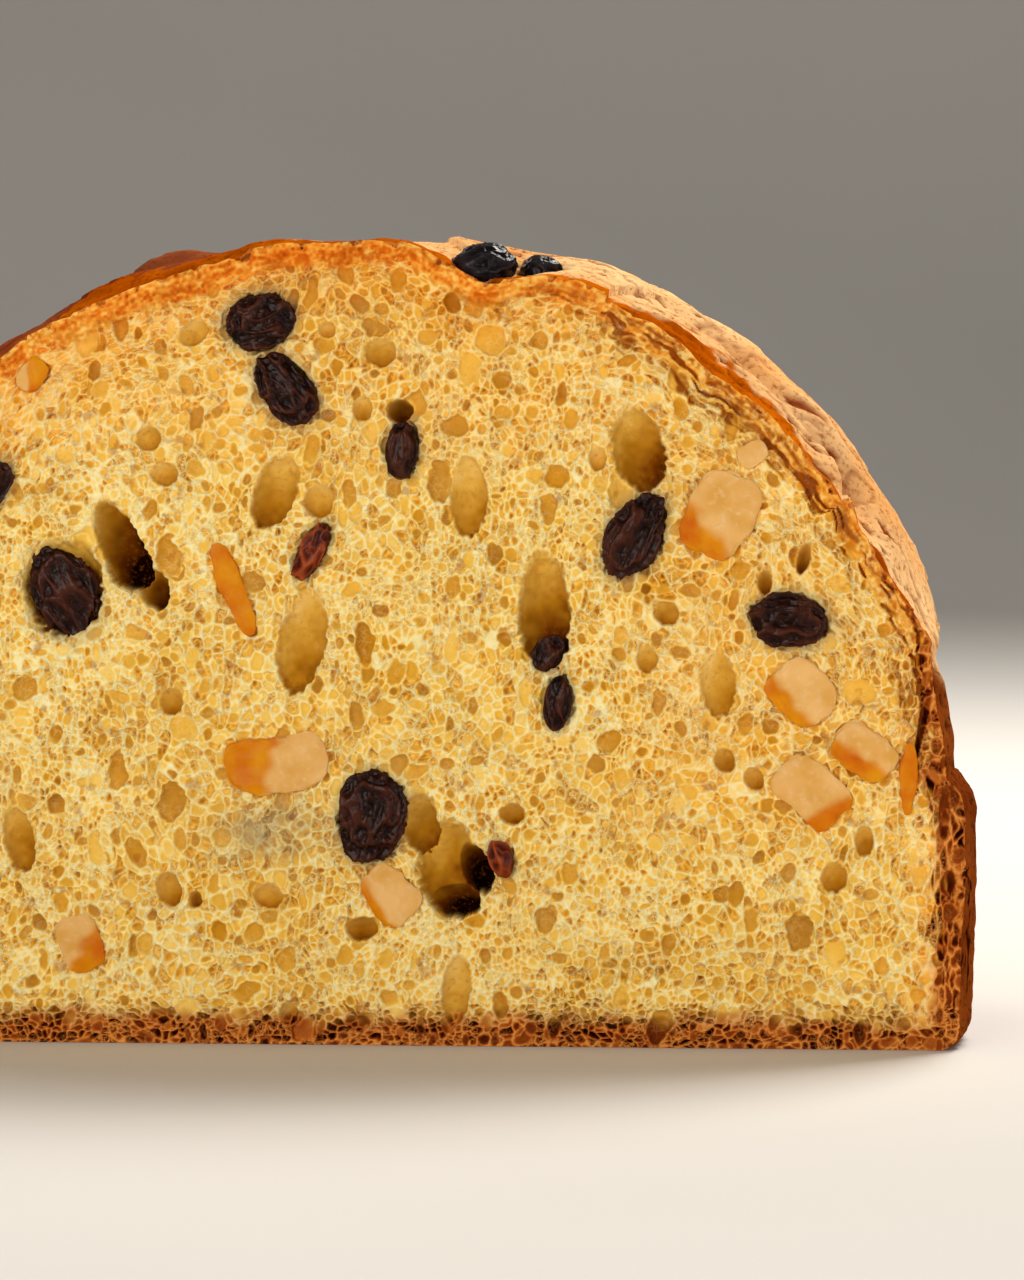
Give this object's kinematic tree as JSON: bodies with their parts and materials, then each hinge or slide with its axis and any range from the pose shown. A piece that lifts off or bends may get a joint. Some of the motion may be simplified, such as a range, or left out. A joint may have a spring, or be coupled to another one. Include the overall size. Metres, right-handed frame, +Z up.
{
  "type": "panettone",
  "caption": "Cut panettone: tall domed sweet bread with yellow open crumb, brown crust, raisins and candied peel.",
  "frame": {"origin": "middle of the box round the loaf, on the surface it stands on", "axes": "+X along the cut face to the right seen from in front of it, -Y out of the cut face, +Z up"},
  "size_m": [0.1966, 0.1144, 0.133],
  "materials": {
    "crumb": "soft open crumb, pale yellow walls round golden holes",
    "crust": "baked crust, tan on the dome and dark brown on the wall and base",
    "raisin": "wrinkled, dark and sticky",
    "peel": "candied, moist and a little translucent"
  },
  "bodies": {
    "root": {"loaf": "crumb", "raisin_01": "raisin", "raisin_02": "raisin", "raisin_03": "raisin", "raisin_04": "raisin", "raisin_05": "raisin", "raisin_06": "raisin", "raisin_07": "raisin", "raisin_08": "raisin", "raisin_09": "raisin", "raisin_10": "raisin", "raisin_11": "raisin", "raisin_12": "raisin", "raisin_13": "raisin", "raisin_top_01": "raisin", "raisin_top_02": "raisin", "raisin_top_03": "raisin", "peel_01": "peel", "peel_02": "peel", "peel_03": "peel", "peel_04": "peel", "peel_05": "peel", "peel_06": "peel", "peel_07": "peel", "peel_08": "peel", "peel_09": "peel", "peel_10": "peel", "peel_11": "peel", "peel_12": "peel"}
  },
  "joints": []
}
